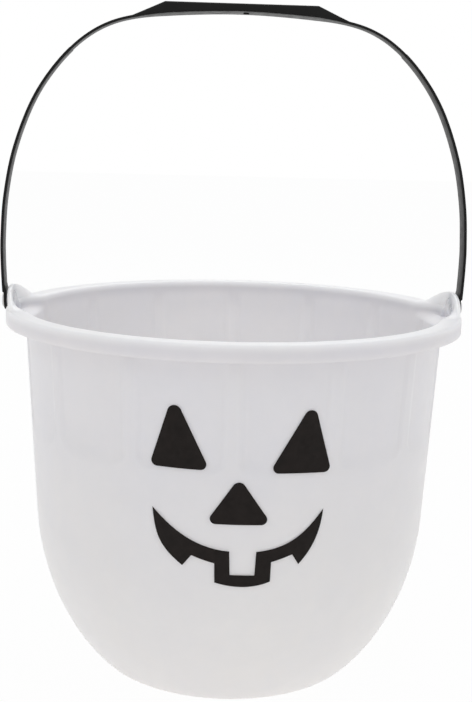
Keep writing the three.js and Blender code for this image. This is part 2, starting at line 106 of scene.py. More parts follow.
# The handle, as in the CAD
SIDE_CLEARANCE = 0.35
BORE_CLEARANCE = 0.3
END_CLEARANCE = 0.3
EYELET_THICKNESS = 1.2
KNEE_RISE = 4
KNEE_OFFSET = 0.6
STRAP_WIDTH = 9
STRAP_THICKNESS = 1.3
NECK_STRAP_WIDTH = 7.6
NECK_STRAP_THICKNESS = 1.15
STEP_HALF_WIDTH = 75
HANDLE_BULGE = 0.6
HANDLE_RISE = 132.3
LEG_BULGE_SHARES = (0.45, 1, 0.8, -1.6)
LEG_RISE_SHARES = (0.066, 0.145, 0.224, 0.36)
ARCH_SPAN_SHARES = (0.952, 0.877, 0.784, 0.672, 0.552, 0.412, 0.23)
ARCH_RISE_SHARES = (0.516, 0.676, 0.795, 0.889, 0.948, 0.978, 0.993)
GRIP_WIDTH = 14
GRIP_TOP = 2.3
GRIP_HALF_FLAT = 34
GRIP_HALF_LENGTH = 48.5
GRIP_ROUND = 0.9
STRAP_ROUND = 0.35
GATE_RADIUS = 1.3
GATE_LENGTH = 0.6
GATE_OFFSET = 2.2

# The printed face, as in the CAD but closer to the wall
INK_CLEARANCE = 0.12
INK_THICKNESS = 0.06
TIP_ROUND = 2.8
CORNER_ROUND = 2.3
LEFT_EYE = ((-27.9, -21.7), (-36.9, -52.3), (-12.9, -52.6))
RIGHT_EYE = ((27.8, -23.7), (10.6, -53.5), (36.3, -54.3))
NOSE = ((-1.2, -54.9), (-14.5, -74.8), (12.6, -75.2))
MOUTH = (
    ((-35.5, -69.6), (-34.2, -81.8), (-32.8, -86), (-23.2, -93.5)),
    ((-23.2, -93.5), (-19.6, -88.8)),
    ((-19.6, -88.8), (-14.8, -90.7), (-10.3, -91.7)),
    ((-10.3, -91.7), (-10.1, -100.1)),
    ((-10.1, -100.1), (2.7, -103.8), (12.5, -99.7)),
    ((12.5, -99.7), (12.7, -91.2)),
    ((12.7, -91.2), (17, -90.1), (21.3, -88.4)),
    ((21.3, -88.4), (24, -92.9)),
    ((24, -92.9), (30.3, -86.2), (32.9, -78.9), (33.6, -69.8)),
    ((33.6, -69.8), (24.7, -82.5), (17.2, -85.5), (6.5, -86.6)),
    ((6.5, -86.6), (6, -96.8)),
    ((6, -96.8), (-4, -96.6)),
    ((-4, -96.6), (-4.4, -86.4)),
    ((-4.4, -86.4), (-18, -85.5), (-27.6, -78.4), (-35.5, -69.6)),
)

# The floor and the world. The floor is partly a light: a smaller share of it for the object than
# for the camera, which sees it as white.
WHITE = (1, 1, 1)
FLOOR_REACH = 9000
FLOOR_COLOR = (0.92, 0.92, 0.92)
FLOOR_TINT = (1, 0.955, 0.92)
FLOOR_GLOW = 0.72
FLOOR_WHITE = 0.96
WORLD_LIGHT = 0.7
WORLD_TINT = (0.965, 0.985, 1)

# The camera: its place from the middle of the rim, its turn in degrees and its focal length,
# which make the perspective of a picture of 472 by 702 pixels
CAMERA_PLACE = (-26.79, -511.38, 73.01)
CAMERA_HEADING = 3.1535
CAMERA_DIP = 10.459
CAMERA_ROLL = 1.44
FOCAL_PIXELS = 1100.39
PICTURE_HEIGHT = 702
SENSOR = 36

# How finely the shapes are built
STATIONS = 576
BOWL_STEPS = 26
INNER_BOWL_STEPS = 18
FITTING_BOWL_STEPS = 60
WAIST_ROW_DEPTHS = (80, 68, 60)
FLUTE_END_ROWS = 18
FLUTE_END_ROW_REACH = 4
FLUTE_ROWS = 5
SHOULDER_ROWS = 9
SHOULDER_ROW_MARGINS = (2, 0.5)
MOUTH_ROUND_STEPS = 8
BOSS_STEPS = 16
BOSS_ROWS = 6
ROUND_SIDES = 72
STRAP_SPAN_STEPS = 9
GRIP_STEPS = 30
GRIP_SLOPE_STEPS = 9
GRIP_ROUND_STEPS = 4
MARK_STEPS = 10
CURVE_STEPS = 14
OUTLINE_STEP = 0.6
INK_GRID = 1.5
INK_GRID_START = 0.4
INK_FITTING_ROUNDS = 4
INK_MERGE_DISTANCE = 1e-5
# Edges that bend more than this many degrees look sharp
SHARP_ANGLE = 34
INK_SHARP_ANGLE = 60

# Small bevels, fillets and overlaps, which the CAD leaves out or builds more coarsely
NECK_FILLET = 0.6
EAR_NECK_FILLET = 0.3
SKIRT_FILLET = 0.6
SKIRT_EDGE_ROUND = 0.35
SKIRT_EDGE_BEVEL = 0.1
SKIRT_INNER_BEVEL = 0.12
SKIRT_INNER_ROW_RISE = 2.5
SKIRT_OUTER_ROW_RISE = 2.4
LAND_BEVEL = (0.3, 0.15)
UNDERSIDE_REACH = 8
PAIL_FLOOR_REACH = 12
EAR_FOOT_SINK = 0.1
EAR_FOOT_REACH = 0.5
EAR_FOOT_FILLET = (0.2, 0.5)
BOSS_LIFT = 0.4
LIP_BEVEL = 0.1
EYELET_BEVEL = 0.25
KNEE_BEVEL = 0.3
KNEE_STEP = 0.1
KNEE_MARGIN = 0.4
STRAP_STEP_LENGTH = 0.25
GRIP_CORNER_ROWS = (-1.2, -0.6, 0.6)
GRIP_END_MARGIN = 0.6
GRIP_END_INSET = 0.3
GRIP_END_SINK = 0.1
GRIP_ROUND_SHARE = 0.42
GATE_BEVEL = 0.2
# Where the middle of a rounded corner lies, as a share of its radius
CORNER_SHARE = 0.3
# Over this much of its rise an ear grows out of the flat rim
EAR_BLEND_RISE = 1.2
# The share of a flute's end fade that lies beyond its end
FADE_PAST_END = 1 / 3
# Shares of the way across the rim's ledge, up an ear's outside and down its inside
LEDGE_SHARES = (0.15, 0.3, 0.5, 0.7, 0.85)
EAR_OUTSIDE_SHARES = (0.45, 0.9)
EAR_INSIDE_SHARES = (0.3, 0.6, 0.85)

# Radii and heights that follow from the sizes
pitch = 360 / FLUTE_COUNT
neck_radius = RIM_RADIUS - RIM_OVERHANG
neck_inner = neck_radius - BUCKET_WALL
mouth_radius = neck_inner + MOUTH_ROUND
waist_radius = neck_radius - WAIST_TAPER
stud_height = RIM_HEIGHT + STUD_RISE
ear_outer = RIM_RADIUS - EAR_LEDGE
ear_mouth = neck_inner + SHOULDER_REACH + EAR_MOUTH_ROUND
niche_radius = ear_outer - NICHE_WALL
ear_inner = ear_outer - EAR_WALL
strap_inner = RIM_RADIUS + SIDE_CLEARANCE
strap_outer = strap_inner + EYELET_THICKNESS
knee_outer = strap_outer + KNEE_OFFSET
bore_radius = STUD_RADIUS + BORE_CLEARANCE
lip_start = strap_outer + END_CLEARANCE
stud_end = lip_start + STUD_LIP_LENGTH


# Helpers that make and join meshes


def mesh_object(name, points, faces, smooth_angle=32):
    """An object from points in millimetres and faces, smooth where it bends less than the angle."""
    mesh = bpy.data.meshes.new(name)
    mesh.from_pydata([tuple(METRES * float(c) for c in p) for p in points], [], faces)
    mesh.validate()
    obj = bpy.data.objects.new(name, mesh)
    scene.collection.objects.link(obj)
    smooth(obj, smooth_angle)
    return obj


def smooth(obj, angle):
    """Smooth shading, but for edges that bend more than an angle in degrees."""
    mesh = obj.data
    mesh.polygons.foreach_set("use_smooth", [True] * len(mesh.polygons))
    mesh.set_sharp_from_angle(angle=math.radians(angle))


def combine(obj, tool, operation):
    """Joins a tool to an object, or cuts it away, and drops the tool."""
    modifier = obj.modifiers.new(operation, "BOOLEAN")
    modifier.object = tool
    modifier.operation = operation
    modifier.solver = "MANIFOLD"
    bpy.context.view_layer.update()
    depsgraph = bpy.context.evaluated_depsgraph_get()
    result = bpy.data.meshes.new_from_object(obj.evaluated_get(depsgraph))
    obj.modifiers.clear()
    obj.data = result
    bpy.data.objects.remove(tool)
    return obj


def closed_loft(name, rings):
    """A closed solid through rings of points, with flat ends."""
    size = len(rings[0])
    points = [p for ring in rings for p in ring]
    faces = []
    for i in range(len(rings) - 1):
        j = i + 1
        for k in range(size):
            m = (k + 1) % size
            faces.append((i * size + k, i * size + m, j * size + m, j * size + k))
    faces += [tuple(range(size)), tuple(range(len(points) - 1, len(points) - size - 1, -1))]
    obj = mesh_object(name, points, faces)
    face_outwards(obj)
    return obj


def turned_about_stud(name, profile):
    """A profile of radius and X turned about the studs' axis, first and last points on it."""
    sides = ROUND_SIDES
    points = [(profile[0][1], 0, stud_height)]
    inner = profile[1:-1]
    for radius, along in inner:
        for k in range(sides):
            a = 2 * math.pi * k / sides
            points.append((along, radius * math.cos(a), stud_height + radius * math.sin(a)))
    points.append((profile[-1][1], 0, stud_height))
    last = len(points) - 1
    faces = []
    for k in range(sides):
        faces.append((0, 1 + (k + 1) % sides, 1 + k))
    for i in range(len(inner) - 1):
        for k in range(sides):
            m = (k + 1) % sides
            a, b = 1 + i * sides, 1 + (i + 1) * sides
            faces.append((a + k, a + m, b + m, b + k))
    base = 1 + (len(inner) - 1) * sides
    for k in range(sides):
        faces.append((last, base + k, base + (k + 1) % sides))
    obj = mesh_object(name, points, faces)
    face_outwards(obj)
    return obj


def face_outwards(obj):
    """Turns the faces of a closed mesh outwards."""
    bm = bmesh.new()
    bm.from_mesh(obj.data)
    bmesh.ops.recalc_face_normals(bm, faces=bm.faces)
    bm.to_mesh(obj.data)
    bm.free()


def prism(name, outline, low, high):
    """An outline in Y and Z, extruded along X."""
    points = [(x, y, z) for x in (low, high) for y, z in outline]
    size = len(outline)
    faces = [tuple(range(size)), tuple(range(2 * size - 1, size - 1, -1))]
    for k in range(size):
        m = (k + 1) % size
        faces.append((k, size + k, size + m, m))
    obj = mesh_object(name, points, faces)
    face_outwards(obj)
    return obj


def arc(centre, size, start, end, steps):
    """Points of an arc in degrees, from start to end."""
    angles = np.radians(np.linspace(start, end, steps + 1))
    return [(centre[0] + size * math.cos(a), centre[1] + size * math.sin(a)) for a in angles]


def mirrored(make):
    """A tool and its copy turned half a turn about Z, as one object."""
    first, second = make("side_a"), make("side_b")
    second.data.transform(Matrix.Rotation(math.pi, 4, "Z"))
    return combine(first, second, "UNION")


# The bucket

neck = np.array([neck_radius, RIM_HEIGHT - NECK_DEPTH], float)
waist = np.array([waist_radius, RIM_HEIGHT - WAIST_DEPTH], float)
foot = np.array([FOOT_RADIUS, 0.0])
wall_down = (waist - neck) / np.linalg.norm(waist - neck)
heel = np.array([math.cos(math.radians(HEEL_ANGLE)), math.sin(math.radians(HEEL_ANGLE))])
bowl = [foot, foot + HEEL_REACH * heel, waist + BOWL_REACH * wall_down, waist]


def bezier(points, t):
    """A cubic curve's point and unit slope."""
    a, b, c, d = points
    at = (1 - t) ** 3 * a + 3 * (1 - t) ** 2 * t * b + 3 * (1 - t) * t * t * c + t**3 * d
    slope = 3 * (1 - t) ** 2 * (b - a) + 6 * (1 - t) * t * (c - b) + 3 * t * t * (d - c)
    return at, slope / np.linalg.norm(slope)


def wall_rows(bowl_steps):
    """The outer wall from foot to neck: points of radius and height with outward normals."""
    rows = []
    for i in range(bowl_steps + 1):
        at, along = bezier(bowl, i / bowl_steps)
        rows.append((at, np.array([along[1], -along[0]])))
    straight = FLUTE_END_DEPTH - FLUTE_END_ROUND
    fade_start = FLUTE_END_DEPTH + FLUTE_END_FADE * FADE_PAST_END
    fade_end = straight - FLUTE_END_ROW_REACH
    depths = [*WAIST_ROW_DEPTHS, *np.linspace(fade_start, fade_end, FLUTE_END_ROWS)]
    full = fade_end - FLUTE_END_ROW_REACH
    depths += list(np.linspace(full, FLUTE_TOP_DEPTH + FLUTE_FADE, FLUTE_ROWS))
    far, near = (SHOULDER_DEPTH + margin for margin in SHOULDER_ROW_MARGINS)
    depths += [far, *np.linspace(near, SHOULDER_TOP_DEPTH, SHOULDER_ROWS)]
    normal = np.array([-wall_down[1], wall_down[0]])
    for depth in [*depths, NECK_DEPTH]:
        t = (depth - NECK_DEPTH) / (WAIST_DEPTH - NECK_DEPTH)
        rows.append((neck + t * (waist - neck), normal))
    return rows


def ease(t):
    """A smooth step from 0 to 1."""
    t = np.clip(t, 0, 1)
    return t * t * (3 - 2 * t)


def flute_recess(angle, height):
    """How far the flutes push the wall in, at an angle in degrees from the front."""
    depth = RIM_HEIGHT - height
    from_rib = (np.asarray(angle) - FLUTE_TURN) % pitch
    to_rib = np.radians(np.minimum(from_rib, pitch - from_rib)) * neck_radius
    in_panel = to_rib - RIB_WIDTH / 2
    beyond = np.maximum(0, depth - (FLUTE_END_DEPTH - FLUTE_END_ROUND)) / FLUTE_END_ROUND
    reach = FLUTE_END_ROUND * (1 - np.sqrt(np.maximum(0, 1 - np.minimum(beyond, 1) ** 2)))
    side = ease((in_panel - reach) / RIB_FLANK)
    end = ease((FLUTE_END_DEPTH - depth) / FLUTE_END_FADE + FADE_PAST_END)
    top = ease((depth - FLUTE_TOP_DEPTH) / FLUTE_FADE)
    return FLUTE_RECESS * side * top * end


def shoulder(height):
    """How far the wall is pushed out at a height under the middle of an ear."""
    depth = RIM_HEIGHT - height
    return SHOULDER_REACH * ease((SHOULDER_DEPTH - depth) / (SHOULDER_DEPTH - SHOULDER_TOP_DEPTH))


def ear_share(angle):
    """The share of that push at an angle in degrees from the front."""
    across = np.abs(ear_outer * np.cos(np.radians(angle)))
    start = NICHE_HALF_WIDTH + BOSS_MARGIN
    return 1 - ease((across - start) / (EAR_HALF_SPAN - start))


def ear_height(angle):
    """How far an ear rises over the rim, at an angle in degrees from the front."""
    middle = (ear_outer + ear_inner) / 2
    across = np.abs(middle * np.cos(np.radians(angle)))
    swell = np.cos(np.pi / 2 * np.minimum(across / EAR_HALF_SPAN, 1))
    return EAR_RISE * np.maximum(swell, 0) ** EAR_SWELL_POWER


def rim_rows(angle):
    """The rim's profile at an angle, from the flange's underside, over the top, to the mouth."""
    h = float(ear_height(angle))
    rise = float(ease(h / EAR_BLEND_RISE))
    share = float(ear_share(angle))
    top = RIM_HEIGHT
    under = top - BUCKET_WALL
    skirt = RIM_RADIUS - SKIRT_WALL
    bottom = RIM_HEIGHT - SKIRT_DROP
    outer = (RIM_RADIUS - RIM_ROUND, top - RIM_ROUND)
    neck_at = neck_radius + share * SHOULDER_REACH
    fillet = NECK_FILLET + share * (EAR_NECK_FILLET - NECK_FILLET)
    near, far = CORNER_SHARE * fillet, CORNER_SHARE * SKIRT_FILLET
    edge, bevel = SKIRT_EDGE_ROUND, SKIRT_EDGE_BEVEL
    shared = [(neck_at, under - fillet), (neck_at + near, under - near), (neck_at + fillet, under)]
    shared += [(skirt - SKIRT_FILLET, under), (skirt - far, under - far)]
    shared += [(skirt, under - SKIRT_FILLET), (skirt, bottom + SKIRT_INNER_ROW_RISE)]
    shared += [(skirt, bottom + edge), (skirt + SKIRT_INNER_BEVEL, bottom + bevel)]
    shared += [(skirt + edge, bottom), (RIM_RADIUS - edge, bottom)]
    shared += [(RIM_RADIUS - bevel, bottom + bevel), (RIM_RADIUS, bottom + edge)]
    shared += [(RIM_RADIUS, bottom + SKIRT_OUTER_ROW_RISE), *arc(outer, RIM_ROUND, 0, 60, 5)]
    mouth = [
        (a[0] + share * (b[0] - a[0]), a[1])
        for a, b in zip(
            arc((mouth_radius, top - MOUTH_ROUND), MOUTH_ROUND, 90, 180, MOUTH_ROUND_STEPS),
            arc((ear_mouth, top - MOUTH_ROUND), EAR_MOUTH_ROUND, 90, 180, MOUTH_ROUND_STEPS),
            strict=True,
        )
    ]
    ledge = [
        (outer[0] + t * (mouth[0][0] - outer[0]), top)
        for t in LEDGE_SHARES
    ]
    flat = [*arc(outer, RIM_ROUND, 70, 90, 2), *ledge, *mouth]
    base, crest, brow = shared[-1][1], top + h, top + h - EAR_ROUND
    corner = CORNER_SHARE * EAR_ROUND
    ear = [(ear_outer, base + t * (brow - base)) for t in EAR_OUTSIDE_SHARES]
    ear += [(ear_outer, brow), (ear_outer - corner, crest - corner), (ear_outer - EAR_ROUND, crest)]
    ear += [(ear_inner + EAR_ROUND, crest), (ear_inner + corner, crest - corner), (ear_inner, brow)]
    ear_foot = (mouth[1][0] + EAR_FOOT_REACH * (1 - share), top - EAR_FOOT_SINK)
    ear += [
        (ear_inner + t * (ear_foot[0] - ear_inner), brow + t * (ear_foot[1] - brow))
        for t in EAR_INSIDE_SHARES
    ]
    ear += [(ear_foot[0] + EAR_FOOT_FILLET[0], ear_foot[1] + EAR_FOOT_FILLET[1])]
    ear += [mouth[2], *mouth[4:7], mouth[8]]
    mixed = [
        (a[0] + rise * (b[0] - a[0]), a[1] + rise * (b[1] - a[1]))
        for a, b in zip(flat, ear, strict=True)
    ]
    return shared + mixed


def bucket_mesh():
    """The pail's shell as one closed grid of profiles."""
    rows = wall_rows(BOWL_STEPS)
    inner_rows = wall_rows(INNER_BOWL_STEPS)
    angles = np.arange(STATIONS) * 360 / STATIONS
    land = FOOT_RADIUS - FOOT_LAND
    underside = [(land - FOOT_LIFT - UNDERSIDE_REACH, FOOT_LIFT), (land - FOOT_LIFT, FOOT_LIFT)]
    underside += [(land - LAND_BEVEL[0], LAND_BEVEL[1]), (land, 0)]
    grid = []
    for angle in angles:
        ring = list(underside)
        share = ear_share(angle)
        for at, _ in rows:
            push = share * shoulder(at[1])
            ring.append((at[0] - flute_recess(angle, at[1]) + push, at[1]))
        ring += rim_rows(angle)
        for at, normal in reversed(inner_rows[1:]):
            height = at[1] - BUCKET_WALL * normal[1]
            push = share * shoulder(height - SHOULDER_LAG)
            radius = at[0] - BUCKET_WALL * normal[0] - flute_recess(angle, at[1])
            ring.append((radius + push, height))
        floor = FOOT_LIFT + BUCKET_WALL
        ring += [(FOOT_RADIUS - FOOT_LAND / 2, floor), (land - PAIL_FLOOR_REACH, floor)]
        grid.append(ring)
    size = len(grid[0])
    points = []
    for angle, ring in zip(np.radians(angles), grid):
        points += [(r * math.sin(angle), -r * math.cos(angle), z) for r, z in ring]
    faces = []
    for i in range(STATIONS):
        j = (i + 1) % STATIONS
        for k in range(size - 1):
            faces.append((i * size + k, j * size + k, j * size + k + 1, i * size + k + 1))
    under, over = len(points), len(points) + 1
    points += [(0, 0, FOOT_LIFT), (0, 0, FOOT_LIFT + BUCKET_WALL)]
    for i in range(STATIONS):
        j = (i + 1) % STATIONS
        faces.append((under, j * size, i * size))
        faces.append((over, i * size + size - 1, j * size + size - 1))
    return mesh_object("pail", points, faces)


def boss(name):
    """The block that fills the rim's channel behind the niche at +X."""
    bottom = RIM_HEIGHT - SKIRT_DROP + BOSS_LIFT
    top = RIM_HEIGHT - BUCKET_WALL / 2
    half = NICHE_HALF_WIDTH + BOSS_MARGIN
    outside = RIM_RADIUS - SKIRT_WALL / 2
    profile = [(outside, bottom), (outside, top)]
    for height in (top, *np.linspace(RIM_HEIGHT - SHOULDER_TOP_DEPTH, bottom, BOSS_ROWS)):
        profile.append((neck_radius + float(shoulder(height)) - BUCKET_WALL / 2, height))
    reach = math.asin(half / RIM_RADIUS)
    rings = []
    for a in np.linspace(-reach, reach, BOSS_STEPS + 1):
        rings.append([(r * math.cos(a), r * math.sin(a), z) for r, z in profile])
    return closed_loft(name, rings)


def niche(name):
    """The arched hollow inside the ear at +X."""
    spring = RIM_HEIGHT + NICHE_TOP_RISE - NICHE_HALF_WIDTH
    low = RIM_HEIGHT - NICHE_FLOOR_DROP
    outline = [(-NICHE_HALF_WIDTH, low), (NICHE_HALF_WIDTH, low)]
    outline += arc((0, spring), NICHE_HALF_WIDTH, 0, 180, 24)
    return prism(name, outline, neck_inner - BUCKET_WALL, niche_radius)


def stud(name):
    """The stud at +X, with the lip that keeps the eyelet on."""
    edge = STUD_LIP / 2
    lip_radius = STUD_RADIUS + STUD_LIP
    profile = [
        (0, niche_radius + NICHE_WALL / 2),
        (STUD_RADIUS, niche_radius + NICHE_WALL / 2),
        (STUD_RADIUS, lip_start),
        (lip_radius - LIP_BEVEL, lip_start),
        (lip_radius, lip_start + LIP_BEVEL),
        (lip_radius, stud_end - STUD_LIP + LIP_BEVEL),
        (STUD_RADIUS + 0.5 * edge, stud_end - 0.4 * edge),
        (STUD_RADIUS - edge, stud_end),
        (0, stud_end),
    ]
    return turned_about_stud(name, profile)


def pocket(name):
    """The shallow pocket in the niche's back, at and below the mouth of the stud's hollow."""
    end = POCKET_HEIGHT / 2
    side = POCKET_WIDTH / 2 - end
    middle = stud_height - POCKET_DROP
    outline = arc((side, middle), end, -90, 90, 12) + arc((-side, middle), end, 90, 270, 12)
    return prism(name, outline, niche_radius - NICHE_WALL, niche_radius + POCKET_DEPTH)


def core(name):
    """The hollow of the stud, open to the niche."""
    outline = arc((0, stud_height), CORE_RADIUS, 0, 360, 36)[:-1]
    return prism(name, outline, niche_radius - NICHE_WALL, stud_end - STUD_END_WALL)


def make_pail():
    """The whole pail: the shell with its bosses, studs, niches and their hollows."""
    pail = bucket_mesh()
    combine(pail, mirrored(boss), "UNION")
    combine(pail, mirrored(stud), "UNION")
    combine(pail, mirrored(niche), "DIFFERENCE")
    combine(pail, mirrored(pocket), "DIFFERENCE")
    combine(pail, mirrored(core), "DIFFERENCE")
    smooth(pail, SHARP_ANGLE)
    return pail


# The handle

leg = [
    (knee_outer + out * HANDLE_BULGE, up * HANDLE_RISE)
    for out, up in zip(LEG_BULGE_SHARES, LEG_RISE_SHARES)
]
arch = [
    (out * knee_outer, up * HANDLE_RISE)
    for out, up in zip(ARCH_SPAN_SHARES, ARCH_RISE_SHARES)
]
half_line = [(knee_outer, KNEE_RISE), *leg, *arch, (0, HANDLE_RISE)]


def spline(points, per_span):
    """A smooth line through points, as points and unit tangents."""
    full = [np.array(p, float) for p in points]
    out = []
    for i in range(len(full) - 1):
        p1, p2 = full[i], full[i + 1]
        p0 = full[i - 1] if i else p1
        p3 = full[i + 2] if i + 2 < len(full) else p2
        v0, v1 = (p2 - p0) / 2, (p3 - p1) / 2
        for k in range(per_span):
            t = k / per_span
            cubic, square = 2 * p1 - 2 * p2 + v0 + v1, 3 * p2 - 3 * p1 - 2 * v0 - v1
            at = cubic * t**3 + square * t * t + v0 * t + p1
            slope = 3 * cubic * t * t + 2 * square * t + v0
            out.append((at, slope / np.linalg.norm(slope)))
    slope = full[-1] - full[-2]
    out.append((full[-1], slope / np.linalg.norm(slope)))
    return out


def strap_line():
    """The strap's outer face from the right eyelet over the top to the left one."""
    left = [(-x, z) for x, z in reversed(half_line[:-1])]
    return spline(half_line + left, STRAP_SPAN_STEPS)


def rounded_section(low_y, high_y, low, high, round_off, steps=3):
    """A rounded rectangle in Y and depth, as points."""
    r = round_off
    corners = [
        ((high_y - r, high - r), 0), ((low_y + r, high - r), 90),
        ((low_y + r, low + r), 180), ((high_y - r, low + r), 270),
    ]
    points = []
    for centre, start in corners:
        points += arc(centre, r, start, start + 90, steps)
    return points


def make_strap():
    """The strap, with a small step where its thick legs pass into the thin arch."""
    leg_size, arch_size = (STRAP_WIDTH, STRAP_THICKNESS), (NECK_STRAP_WIDTH, NECK_STRAP_THICKNESS)
    rings = []
    previous = leg_size
    for at, along in strap_line():
        inward = np.array([-along[1], along[0]])
        size = leg_size if abs(at[0]) > STEP_HALF_WIDTH else arch_size
        sizes = [size] if size == previous else [previous, size]
        for n, (width, thickness) in enumerate(sizes):
            shift = STRAP_STEP_LENGTH * (n - (len(sizes) - 1)) * along
            section = rounded_section(-width / 2, width / 2, 0, thickness, STRAP_ROUND)
            ring = []
            for across, depth in section:
                p = at + shift + depth * inward
                ring.append((p[0], across, stud_height + p[1]))
            rings.append(ring)
        previous = size
    return closed_loft("handle_strap", rings)


def eyelet(name):
    """The flat end that turns on the stud."""
    half = STRAP_WIDTH / 2
    profile = [
        (0, strap_inner),
        (half - EYELET_BEVEL, strap_inner),
        (half, strap_inner + EYELET_BEVEL),
        (half, strap_outer - EYELET_BEVEL),
        (half - EYELET_BEVEL, strap_outer),
        (0, strap_outer),
    ]
    return turned_about_stud(name, profile)


def knee(name):
    """The piece of the strap between the flat end and the leg."""
    above = knee_outer + 0.25 * HANDLE_BULGE, 1.5 * KNEE_RISE
    stops = [
        (strap_inner, strap_outer, 0),
        (strap_inner, strap_outer, KNEE_RISE - KNEE_MARGIN),
        (strap_inner, strap_outer + KNEE_BEVEL, KNEE_RISE - KNEE_STEP),
        (strap_inner, knee_outer - KNEE_BEVEL, KNEE_RISE),
        (strap_inner, knee_outer, KNEE_RISE + KNEE_MARGIN),
        (above[0] - STRAP_THICKNESS, above[0], above[1] + STRAP_THICKNESS),
    ]
    rings = []
    for inner, outer, rise in stops:
        section = rounded_section(-STRAP_WIDTH / 2, STRAP_WIDTH / 2, inner, outer, STRAP_ROUND)
        rings.append([(depth, across, stud_height + rise) for across, depth in section])
    return closed_loft(name, rings)


def bore(name):
    """The eyelet's hole, longer than the stud."""
    profile = [
        (0, strap_inner - SIDE_CLEARANCE),
        (bore_radius, strap_inner - SIDE_CLEARANCE),
        (bore_radius, stud_end + 1),
        (0, stud_end + 1),
    ]
    return turned_about_stud(name, profile)


def make_grip():
    """The flat-topped pad on the arch, narrowed towards its ends."""
    line = strap_line()
    xs = np.array([at[0] for at, _ in line])[::-1]
    zs = np.array([at[1] for at, _ in line])[::-1]
    on_arch = np.abs(xs) < STEP_HALF_WIDTH + 5

    def outer(x):
        """The arch's outer face at an x."""
        return float(np.interp(x, xs[on_arch], zs[on_arch]))

    top = HANDLE_RISE + GRIP_TOP
    rings = []
    reach = GRIP_HALF_LENGTH + GRIP_END_MARGIN
    slopes = np.linspace(GRIP_HALF_FLAT, reach, GRIP_SLOPE_STEPS + 1)
    corners = [GRIP_HALF_FLAT + d for d in GRIP_CORNER_ROWS]
    stops = sorted({
        *np.linspace(-GRIP_HALF_FLAT, GRIP_HALF_FLAT, GRIP_STEPS + 1),
        *(side * x for side in (-1, 1) for x in (*slopes, *corners)),
    })
    for x in stops:
        share = max(0.0, (abs(x) - GRIP_HALF_FLAT) / (reach - GRIP_HALF_FLAT))
        half = (GRIP_WIDTH + share * (NECK_STRAP_WIDTH - GRIP_END_INSET - GRIP_WIDTH)) / 2
        upper = top + share * (outer(reach) - GRIP_END_SINK - top)
        slope = outer(x + 0.5) - outer(x - 0.5)
        lower = outer(x) - NECK_STRAP_THICKNESS * math.sqrt(1 + slope * slope)
        r = min(GRIP_ROUND, GRIP_ROUND_SHARE * (upper - lower))
        section = rounded_section(-half, half, lower, upper, r, GRIP_ROUND_STEPS)
        rings.append([(x, across, stud_height + z) for across, z in section])
    return closed_loft("grip", rings)


def make_handle():
    """The whole handle: strap, knees, bored eyelets, grip and the gate's stub."""
    handle = make_strap()
    combine(handle, mirrored(knee), "UNION")
    combine(handle, mirrored(eyelet), "UNION")
    combine(handle, make_grip(), "UNION")
    under = stud_height + HANDLE_RISE - NECK_STRAP_THICKNESS
    stub = arc((0, 0), GATE_RADIUS, 0, 360, 20)[:-1]
    rings = []
    for depth, scale in ((0.5, 1), (GATE_BEVEL - GATE_LENGTH, 1), (-GATE_LENGTH, 0.85)):
        rings.append([(GATE_OFFSET + scale * a, scale * b, under + depth) for a, b in stub])
    combine(handle, closed_loft("gate", rings), "UNION")
    combine(handle, mirrored(bore), "DIFFERENCE")
    smooth(handle, SHARP_ANGLE)
    return handle


# The printed face


def mark_outline(corners):
    """A triangle whose tip and corners are rounded by arcs, counter-clockwise."""
    points = []
    for i, round_off in enumerate((TIP_ROUND, CORNER_ROUND, CORNER_ROUND)):
        at, before, after = (np.array(corners[k % 3], float) for k in (i, i + 2, i + 1))
        back = (before - at) / np.linalg.norm(before - at)
        on = (after - at) / np.linalg.norm(after - at)
        half = math.acos(float(back @ on)) / 2
        centre = at + (back + on) / np.linalg.norm(back + on) * round_off / math.sin(half)
        start = at + back * round_off / math.tan(half) - centre
        first = math.degrees(math.atan2(start[1], start[0]))
        last = first + 180 - 2 * math.degrees(half)
        points += arc(centre, round_off, first, last, MARK_STEPS)
    return points


def curve(points):
    """Points of a line, or of a quadratic or cubic curve, without its first."""
    p = [np.array(q, float) for q in points]
    if len(p) == 2:
        return [p[1]]
    out = []
    for k in range(1, CURVE_STEPS + 1):
        t = k / CURVE_STEPS
        if len(p) == 3:
            out.append((1 - t) ** 2 * p[0] + 2 * (1 - t) * t * p[1] + t * t * p[2])
        else:
            out.append(bezier(p, t)[0])
    return out


def mouth_outline():
    """A grin with a square tooth gap above and a fang at each side."""
    return [point for stretch in MOUTH for point in curve(stretch)]


def wall_radius(angle, height):
    """The outer wall's radius at angles and heights, flutes included."""
    rows = wall_rows(FITTING_BOWL_STEPS)
    heights = np.array([at[1] for at, _ in rows])
    radii = np.array([at[0] for at, _ in rows])
    return np.interp(height, heights, radii) - flute_recess(angle, height)


def subdivided(outline):
    """An outline with more points on its longer edges."""
    points = []
    for i, a in enumerate(outline):
        b = outline[(i + 1) % len(outline)]
        count = max(1, int(np.linalg.norm(np.array(b) - a) / OUTLINE_STEP))
        for k in range(count):
            points.append(a + (np.array(b) - a) * k / count)
    return points


